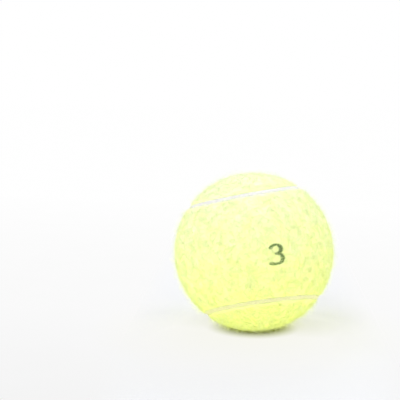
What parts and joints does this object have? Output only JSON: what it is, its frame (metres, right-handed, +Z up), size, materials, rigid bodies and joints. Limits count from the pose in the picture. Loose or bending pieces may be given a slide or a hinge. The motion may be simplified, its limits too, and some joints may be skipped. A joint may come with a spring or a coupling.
{
  "type": "tennis ball",
  "caption": "Hollow rubber ball covered in interlocking dumbbell-shaped felt panels joined along a recessed cement seam, for hitting with a racket.",
  "frame": {"origin": "centre of the ball", "axes": "+Z up as the ball lies, -Y towards the front, where the waist of one felt panel shows; the seam is tipped 10.4 degrees up and rises 13 degrees to the right"},
  "size_m": [0.0666, 0.0666, 0.0666],
  "materials": {
    "core_rubber": "matte moulded rubber",
    "core_cement": "cured rubber cement, slightly glossy",
    "cover_cement": "thin dried rubber cement, satin",
    "seam_cement": "off-white vulcanised seam cement, matte",
    "felt": "raised optic yellow wool and nylon felt"
  },
  "bodies": {
    "root": {"core_half_upper": "core_rubber", "core_half_lower": "core_rubber", "core_joint_cement": "core_cement", "cover_cement": "cover_cement", "seam_cement": "seam_cement", "felt_panel_front": "felt", "felt_panel_back": "felt"}
  },
  "joints": []
}
